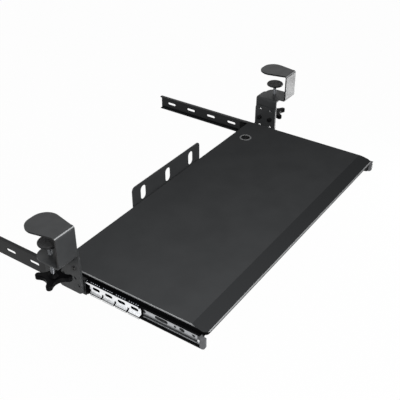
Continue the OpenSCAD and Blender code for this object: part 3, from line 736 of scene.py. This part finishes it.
@dataclass
class WoodScrews:
    """Pan-head screws with a cross recess, which hold sheet metal to the board's underside."""

    head_r: float = 4 * MM
    head_h: float = 2.2 * MM
    shank_r: float = 2 * MM
    recess_l: float = 4.4 * MM
    recess_w: float = 1.1 * MM
    recess_d: float = 1.3 * MM
    crown: tuple[Point, ...] = ((0, 1), (0.45, 0.98), (0.75, 0.85), (0.93, 0.55), (1, 0.15), (1, 0))
    tip_from: float = 0.85
    tip_width: float = 0.3
    steps: int = 32
    seed: int = 3

    def head(self, shank_l: float) -> Piece:
        """Builds one screw that points up, its head's bearing face at the origin.

        Args:
            shank_l: the shank's length.

        Returns:
            A helper object that the tree copies.
        """
        profile = [(across * self.head_r, -down * self.head_h) for across, down in self.crown]
        profile += [(self.shank_r, 0), (self.shank_r, self.tip_from * shank_l),
                    (self.tip_width * self.shank_r, shank_l), (0, shank_l)]
        screw = new_piece("screw_pattern", lathe(profile, Vector(), self.steps), ZINC)
        cross = bmesh.new()
        for length, width in ((self.recess_l, self.recess_w), (self.recess_w, self.recess_l)):
            bar = bmesh.ops.create_cube(cross, size=1.0)
            bmesh.ops.scale(cross, verts=bar["verts"], vec=(length, width, 2 * self.recess_d))
            bmesh.ops.translate(cross, verts=bar["verts"], vec=(0, 0, -self.head_h))
        cutter = new_piece("screw_recess", cross, ZINC)
        cut = screw.modifiers.new("recess", "BOOLEAN")
        cut.object = cutter
        cut.solver = "EXACT"
        cut.use_self = True
        freeze(screw)
        bpy.data.objects.remove(cutter)
        return screw

    def tree(self) -> GeometryTree:
        """Builds the tree that sets a copy of a screw on every seat.

        Returns:
            The closed tree.
        """
        nodes = GeometryTree("screws_on_seats")
        pattern = nodes.size("Screw", "NodeSocketObject")
        shape = add_node(nodes.tree, "GeometryNodeObjectInfo", {"Object": pattern})
        turn = add_node(nodes.tree, "FunctionNodeRandomValue", {
            "Min": (0.0, 0.0, 0.0), "Max": (0.0, 0.0, math.tau), "Seed": self.seed}, data_type="FLOAT_VECTOR")
        copies = add_node(nodes.tree, "GeometryNodeInstanceOnPoints", {
            "Points": nodes.start, "Instance": shape.outputs["Geometry"], "Rotation": turn})
        nodes.end(copies, ZINC)
        return nodes

    def build(self, node: str) -> None:
        """Puts detailed screws in place of a node's plain ones.

        Args:
            node: the node with the plain screws.
        """
        boxes = solid_boxes(node)
        seats = bmesh.new()
        for low, high in boxes:
            seats.verts.new(axis_of(low, high) + Vector((0, 0, low.z + self.head_h)))
        piece = new_piece(f"{node}_detailed", seats, ZINC)
        pattern = self.head(boxes[0][1].z - boxes[0][0].z - self.head_h)
        self.tree().apply(piece, screw=pattern)
        bpy.data.objects.remove(pattern)
        hand_over(piece, Body.TRAY.value, node)


@dataclass
class BallCage:
    """A pressed ball cage: a sunk web with a slot at each ball group, and stepped flanges with ball pockets.

    A section's first number runs outwards from the tray's side, its second up from the slide's centre line.
    """

    groups: int = 6
    sheet: float = 0.7 * MM
    slide_x: float = 344 * MM
    web_u: float = 3.9 * MM
    web_v: float = 7.9 * MM
    wall_u: float = 8.2 * MM
    wall_v: float = 9.9 * MM
    flange_v: float = 14.55 * MM
    flange_u: float = 2.3 * MM
    slot_l: float = 17 * MM
    slot_h: float = 6.4 * MM
    slot_v: float = 0.8 * MM
    notch_l: float = 1.8 * MM
    notch_v: float = -4 * MM
    nose_v: float = 4.6 * MM
    nose_l: tuple[float, float] = (1.6 * MM, 2.4 * MM)
    pockets: int = 5
    pocket_r: float = 2.05 * MM
    pocket_u: float = 4.95 * MM
    pocket_pitch: float = 4.9 * MM
    pocket_steps: int = 20
    slot_steps: int = 28

    def ring(self, centre: Point, radius: float, steps: int, straight: float = 0.0) -> list[Point]:
        """Draws a circle, or a slot with round ends, in the plane of a panel.

        Args:
            centre: the middle of the opening.
            radius: the radius of its ends.
            steps: the number of points.
            straight: the length of its straight sides.

        Returns:
            The points in order.
        """
        points = []
        for i in range(steps):
            turn = math.tau * (i + 0.5) / steps
            shift = math.copysign(straight / 2, math.cos(turn))
            points.append((centre[0] + shift + radius * math.cos(turn), centre[1] + radius * math.sin(turn)))
        return points

    def panel(self, mesh: Mesh, side: Side, fold: tuple[Point, Point], outline: list[Point],
              holes: list[list[Point]]) -> None:
        """Adds one flat panel of the pressed sheet.

        Args:
            mesh: the shape that takes the panel.
            side: the side to build.
            fold: the section's points at the start and the end of the panel.
            outline: points as the place along the slide and the way across the panel, from 0 to 1.
            holes: openings in the same terms.
        """
        sign = -1 if side is Side.LEFT else 1
        edges = []
        for points in [outline, *holes]:
            corners = []
            for along, across in points:
                u, v = (low + (high - low) * across for low, high in zip(*fold))
                corners.append(mesh.verts.new((sign * (self.slide_x + u), along, SLIDE_Z + v)))
            edges += [mesh.edges.new((corners[i - 1], corners[i])) for i in range(len(corners))]
        bmesh.ops.triangle_fill(mesh, use_beauty=True, edges=edges)

    def group(self, side: Side, start: float, pitch: float, is_front: bool) -> Mesh:
        """Builds the sheet of one ball group.

        Args:
            side: the side to build.
            start: the place along the slide where the group starts.
            pitch: the length of a group.
            is_front: whether this is the front group, whose corners are cut away.

        Returns:
            The sheet, without its thickness.
        """
        mesh = bmesh.new()
        end, middle = start + pitch, start + pitch / 2
        height = 2 * self.web_v
        lower_end = end - self.notch_l
        notch = (self.notch_v + self.web_v) / height
        nose = 0.5 - self.nose_v / height, 0.5 + self.nose_v / height
        if is_front:
            cut = start + self.nose_l[0]
            front = [(cut, 1), (start, nose[1]), (start, nose[0]), (cut, 0)]
        else:
            cut = start + self.notch_l
            front = [(start, 1), (start, notch), (cut, notch), (cut, 0)]
        slot_across = 0.5 + self.slot_v / height
        slot = [(along, slot_across + (across - slot_across) / height) for along, across in self.ring(
            (middle, slot_across), self.slot_h / 2, self.slot_steps, self.slot_l - self.slot_h)]
        self.panel(mesh, side, ((self.web_u, -self.web_v), (self.web_u, self.web_v)),
                   [*front, (lower_end, 0), (lower_end, notch), (end, notch), (end, 1)], [slot])
        width = self.flange_u - self.wall_u
        pockets = []
        for i in range(self.pockets):
            centre = (middle + (i - (self.pockets - 1) / 2) * self.pocket_pitch, self.pocket_u)
            pockets.append([(along, (across - self.wall_u) / width) for along, across in self.ring(
                centre, self.pocket_r, self.pocket_steps)])
        for up in (-1, 1):
            stop = end if up > 0 else lower_end
            begin = front[0][0] if up > 0 else front[-1][0]
            outer = start + self.nose_l[1] if is_front else begin
            folds = [(self.web_u, up * self.web_v), (self.wall_u, up * self.wall_v),
                     (self.wall_u, up * self.flange_v), (self.flange_u, up * self.flange_v)]
            for i, near in enumerate((begin, outer, outer)):
                outline = [(near, 0), (stop, 0), (stop, 1), (outer, 1)]
                self.panel(mesh, side, (folds[i], folds[i + 1]), outline, pockets if i == 2 else [])
        bmesh.ops.remove_doubles(mesh, verts=mesh.verts, dist=SHEET_WELD)
        return mesh

    def tree(self) -> GeometryTree:
        """Builds the tree that sets the other groups in a row behind the front one.

        Returns:
            The closed tree.
        """
        nodes = GeometryTree("cage_groups_in_row")
        pattern = nodes.size("Group", "NodeSocketObject")
        count = nodes.size("Count", "NodeSocketInt")
        step = nodes.size("Step", "NodeSocketVector")
        shape = add_node(nodes.tree, "GeometryNodeObjectInfo", {"Object": pattern})
        row = add_node(nodes.tree, "GeometryNodeMeshLine", {"Count": count, "Offset": step})
        copies = add_node(nodes.tree, "GeometryNodeInstanceOnPoints", {
            "Points": row, "Instance": shape.outputs["Geometry"]})
        plain = add_node(nodes.tree, "GeometryNodeRealizeInstances", {"Geometry": copies})
        whole = add_node(nodes.tree, "GeometryNodeJoinGeometry", {"Geometry": [nodes.start, plain]})
        merged = add_node(nodes.tree, "GeometryNodeMergeByDistance", {
            "Geometry": whole, "Distance": SHEET_WELD})
        nodes.end(merged, CAGE_ZINC)
        return nodes

    def build(self, side: Side) -> None:
        """Puts the pressed cage in place of one side's plainer one.

        Args:
            side: the side to build.
        """
        node = side.node("ball_cage")
        low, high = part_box(node)
        pitch = (high.y - low.y) / self.groups
        piece = new_piece(side.node("pressed_cage"), self.group(side, low.y, pitch, True), CAGE_ZINC)
        pattern = new_piece("cage_pattern", self.group(side, low.y + pitch, pitch, False), CAGE_ZINC)
        self.tree().apply(piece, group=pattern, count=self.groups - 1, step=(0.0, pitch, 0.0))
        bpy.data.objects.remove(pattern)
        wall = piece.modifiers.new("sheet", "SOLIDIFY")
        wall.thickness = self.sheet
        wall.offset = -1.0
        wall.use_even_offset = True
        freeze(piece)
        piece.data.shade_flat()
        hand_over(piece, side.node(Body.CAGE.value), node)


@dataclass
class ClampScrew:
    """A threaded clamp screw, with its swivel stub at the top and a plain end in the knob."""

    shank_r: float = 4 * MM
    root_r: float = 3.4 * MM
    stub_r: float = 3 * MM
    stub_h: float = 4 * MM
    plain_h: float = 11.5 * MM
    chamfer: float = 0.8 * MM
    stub_chamfer: float = 0.3 * MM
    pitch: float = 1.25 * MM
    ridge_share: float = 0.45
    ridge_sides: int = 4
    turn_steps: int = 28

    def tree(self) -> GeometryTree:
        """Builds the tree that winds a right-hand thread round the shank.

        Returns:
            The closed tree.
        """
        nodes = GeometryTree("thread_on_shank")
        foot = nodes.size("Foot", "NodeSocketVector")
        length = nodes.size("Length")
        pitch = nodes.size("Pitch")
        crest = nodes.size("Crest radius")
        ridge = nodes.size("Ridge height")
        turns = add_node(nodes.tree, MATH, {0: length, 1: pitch}, operation="DIVIDE")
        middle = add_node(nodes.tree, MATH, {0: crest, 1: ridge}, operation="SUBTRACT")
        helix = add_node(nodes.tree, "GeometryNodeCurveSpiral", {
            "Resolution": self.turn_steps, "Rotations": turns, "Start Radius": middle, "End Radius": middle,
            "Height": length, "Reverse": True})
        upright = add_node(nodes.tree, "GeometryNodeSetCurveNormal", {"Curve": helix}, mode="Z_UP")
        section = add_node(nodes.tree, "GeometryNodeCurvePrimitiveCircle", {
            "Resolution": self.ridge_sides, "Radius": ridge})
        thread = add_node(nodes.tree, "GeometryNodeCurveToMesh", {
            "Curve": upright, "Profile Curve": section, "Fill Caps": True})
        placed = add_node(nodes.tree, "GeometryNodeTransform", {"Geometry": thread, "Translation": foot})
        whole = add_node(nodes.tree, "GeometryNodeJoinGeometry", {"Geometry": [nodes.start, placed]})
        nodes.end(whole, SCREW_STEEL)
        return nodes

    def build(self, side: Side) -> None:
        """Puts the threaded screw in place of one side's plain one.

        Args:
            side: the side to build.
        """
        node = side.node("clamp_screw")
        low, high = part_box(node)
        axis = axis_of(low, high)
        shoulder = high.z - self.stub_h
        thread_foot = low.z + self.plain_h
        thread_top = shoulder - self.chamfer
        shape = lathe([
            (0, low.z), (self.shank_r, low.z), (self.shank_r, thread_foot),
            (self.root_r, thread_foot + self.chamfer), (self.root_r, thread_top), (self.stub_r, shoulder),
            (self.stub_r, high.z - self.stub_chamfer), (self.stub_r - self.stub_chamfer, high.z), (0, high.z),
        ], axis)
        piece = new_piece(side.node("threaded_screw"), shape, SCREW_STEEL)
        self.tree().apply(
            piece, foot=(axis.x, axis.y, thread_foot), length=thread_top - thread_foot, pitch=self.pitch,
            crest_radius=self.shank_r, ridge_height=self.ridge_share * self.pitch)
        hand_over(piece, side.node(Body.SCREW.value), node)


@dataclass
class PressurePad:
    """The ribbed rubber face on the swivelling cup of a clamp screw."""

    ribs: int = 5
    rib_d: float = 0.7 * MM
    rim_r: float = 0.5 * MM
    groove_shift: float = 0.25
    groove_top: float = 0.2
    groove_foot: float = 0.1
    steps: int = 64
    smooth_angle: float = 20.0

    def build(self, side: Side) -> None:
        """Puts a ribbed face in place of one side's plain one.

        Args:
            side: the side to build.
        """
        node = side.node("pad_face")
        low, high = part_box(node)
        axis = axis_of(low, high)
        radius = (high.x - low.x) / 2
        step = radius / (self.ribs + 0.5)
        profile = [(0.0, low.z), (radius, low.z), (radius, high.z - self.rim_r),
                   (radius - self.rim_r, high.z)]
        for i in range(self.ribs, 0, -1):
            groove = i * step - self.groove_shift * step
            top, foot = self.groove_top * step, self.groove_foot * step
            profile += [(groove + top, high.z), (groove + foot, high.z - self.rib_d),
                        (groove - foot, high.z - self.rib_d), (groove - top, high.z)]
        profile.append((0.0, high.z))
        shape = lathe(profile, axis, self.steps)
        piece = new_piece(side.node("ribbed_face"), shape, RUBBER, self.smooth_angle)
        hand_over(piece, side.node(Body.PAD.value), node)


@dataclass
class Clamp:
    """One screw clamp: bent bracket, pads, boss, screw and star knob."""

    side: Side
    screw: ClampScrew = field(default_factory=ClampScrew)
    pad: PressurePad = field(default_factory=PressurePad)

    def build(self) -> None:
        """Dresses the clamp's solids and makes its detailed pieces."""
        for part in ("clamp_bracket", "threaded_boss", "pad_cup"):
            dress(self.side.node(part), POWDER_COAT)
        dress(self.side.node("top_pad"), RUBBER)
        dress(self.side.node("knob"), NYLON)
        self.screw.build(self.side)
        self.pad.build(self.side)


@dataclass
class Hanger:
    """One hanger: the plate with height holes, its bolts and the fixed channel."""

    side: Side

    def build(self) -> None:
        """Dresses the hanger's solids."""
        dress(self.side.node("hanger_plate"), POWDER_COAT)
        dress(self.side.node("hanger_bolts"), BLACK_OXIDE)
        dress(self.side.node("outer_channel"), ELECTROCOAT)
        dress(self.side.node("channel_screws"), ZINC)


@dataclass
class Slide:
    """One ball-bearing slide: rail, cage, balls and the tray's angle bracket."""

    side: Side
    cage: BallCage = field(default_factory=BallCage)
    screws: WoodScrews = field(default_factory=WoodScrews)

    def build(self) -> None:
        """Dresses the slide's solids and makes the cage and the bracket's screws."""
        dress(self.side.node("inner_rail"), RAIL_STEEL)
        dress(self.side.node("rail_bracket"), ELECTROCOAT)
        dress(self.side.node("rail_plug"), GREY_ACETAL)
        self.cage.build(self.side)
        dress(self.side.node("rail_rivets"), ZINC)
        dress(self.side.node("balls"), BALL_STEEL)
        self.screws.build(self.side.node("bracket_screws"))


@dataclass
class Tray:
    """The board with its grommet and the stop plate behind it."""

    screws: WoodScrews = field(default_factory=WoodScrews)

    def build(self) -> None:
        """Dresses the tray's solids and makes the stop plate's screws."""
        dress("tray_board", LAMINATE)
        dress("cable_grommet", POLYPROPYLENE)
        dress("rear_stop", POWDER_COAT)
        self.screws.build("rear_stop_screws")


@dataclass(frozen=True)
class Lamp:
    """A soft lamp: where it stands, what it points at, its sides and its power."""

    name: str
    place: tuple[float, float, float]
    target: tuple[float, float, float]
    sides: tuple[float, float]
    watts: float

    def build(self) -> None:
        """Adds the lamp to the scene."""
        data = bpy.data.lights.new(self.name, "AREA")
        data.shape = "RECTANGLE"
        data.size, data.size_y = self.sides
        data.energy = self.watts
        lamp = bpy.data.objects.new(self.name, data)
        lamp.location = self.place
        aim = Vector(self.target) - Vector(self.place)
        lamp.rotation_euler = aim.to_track_quat("-Z", "Y").to_euler()
        bpy.context.scene.collection.objects.link(lamp)


@dataclass
class Studio:
    """The camera at the photograph's viewing angle, the lamps, the pale floor and the white surround."""

    eye: tuple[float, float, float] = (-1.05138, -0.72286, 0.69659)
    heading: float = 55.65
    tilt: float = -33.52
    focal_px: float = 705.36
    sensor: float = 36.0
    floor_z: float = -0.72
    floor_side: float = 30.0
    floor_colour: str = "#f4f4f3"
    floor_white: float = 0.98
    ambient: float = 0.06
    lamps: tuple[Lamp, ...] = (
        Lamp("key_softbox", (-0.75, -0.85, 0.75), (-0.2, -0.22, -0.15), (0.7, 0.7), 25.0),
        Lamp("top_softbox", (0.55, 0.75, 1.1), (0.42, 0.03, 0.0), (0.6, 0.6), 0.6),
        Lamp("front_right_softbox", (1.35, -1.6, 0.2), (0.05, -0.2, -0.13), (1.3, 0.6), 12.0),
        Lamp("low_right_softbox", (1.4, -0.5, -0.5), (0.35, 0.0, -0.05), (0.7, 0.5), 9.5),
        Lamp("low_left_softbox", (-0.8, -0.42, -0.55), (-0.39, 0.03, -0.1), (0.5, 0.5), 2.2),
    )

    def camera(self) -> None:
        """Sets the camera."""
        data = bpy.data.cameras.new("camera")
        data.sensor_width = self.sensor
        data.lens = self.focal_px / IMAGE_PX * self.sensor
        camera = bpy.data.objects.new("camera", data)
        camera.location = self.eye
        camera.rotation_euler = (math.radians(90 + self.tilt), 0.0, math.radians(-self.heading))
        bpy.context.scene.collection.objects.link(camera)
        bpy.context.scene.camera = camera

    def white_rays(self, tree: Tree) -> Node:
        """Finds the rays that should meet a white surround.

        Args:
            tree: the tree that asks.

        Returns:
            1 for camera, glossy and transmission rays, and 0 for others.
        """
        path = add_node(tree, "ShaderNodeLightPath")
        seen = add_node(tree, MATH, {
            0: path.outputs["Is Camera Ray"], 1: path.outputs["Is Glossy Ray"]}, operation="MAXIMUM")
        return add_node(tree, MATH, {
            0: seen, 1: path.outputs["Is Transmission Ray"]}, operation="MAXIMUM")

    def world(self) -> None:
        """Makes a surround that looks white and lights the object softly."""
        world = bpy.data.worlds.new("white_surround")
        world.use_nodes = True
        tree = world.node_tree
        tree.nodes.clear()
        soft = add_node(tree, "ShaderNodeBackground", {"Color": linear(WHITE), "Strength": self.ambient})
        white = add_node(tree, "ShaderNodeBackground", {"Color": linear(WHITE)})
        mixed = add_node(tree, "ShaderNodeMixShader", {0: self.white_rays(tree), 1: soft, 2: white})
        add_node(tree, "ShaderNodeOutputWorld", {"Surface": mixed})
        bpy.context.scene.world = world

    def floor(self) -> None:
        """Lays the pale floor, which looks white and keeps the object's shadow."""
        mesh = bmesh.new()
        bmesh.ops.create_grid(mesh, x_segments=1, y_segments=1, size=self.floor_side / 2)
        bmesh.ops.translate(mesh, verts=mesh.verts, vec=(0, 0, self.floor_z))
        data = bpy.data.meshes.new("floor")
        mesh.to_mesh(data)
        mesh.free()
        material = bpy.data.materials.new("pale_studio_floor")
        material.use_nodes = True
        tree = material.node_tree
        tree.nodes.clear()
        matt = add_node(tree, "ShaderNodeBsdfDiffuse", {"Color": linear(self.floor_colour)})
        glow = add_node(tree, "ShaderNodeEmission", {"Color": linear(WHITE)})
        share = add_node(tree, MATH, {0: self.white_rays(tree), 1: self.floor_white}, operation="MULTIPLY")
        mixed = add_node(tree, "ShaderNodeMixShader", {0: share, 1: matt, 2: glow})
        add_node(tree, "ShaderNodeOutputMaterial", {"Surface": mixed})
        data.materials.append(material)
        floor = bpy.data.objects.new("floor", data)
        bpy.context.scene.collection.objects.link(floor)

    def build(self) -> None:
        """Sets up the whole studio."""
        bpy.context.scene.view_settings.view_transform = "Standard"
        self.camera()
        self.world()
        self.floor()
        for lamp in self.lamps:
            lamp.build()


def main() -> None:
    """Builds the dressed tray and its studio."""
    logging.basicConfig(level=logging.INFO, format="%(name)s: %(message)s")
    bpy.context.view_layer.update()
    Studio().build()
    Tray().build()
    for side in Side:
        Slide(side).build()
        Hanger(side).build()
        Clamp(side).build()


if __name__ == "__main__":
    main()
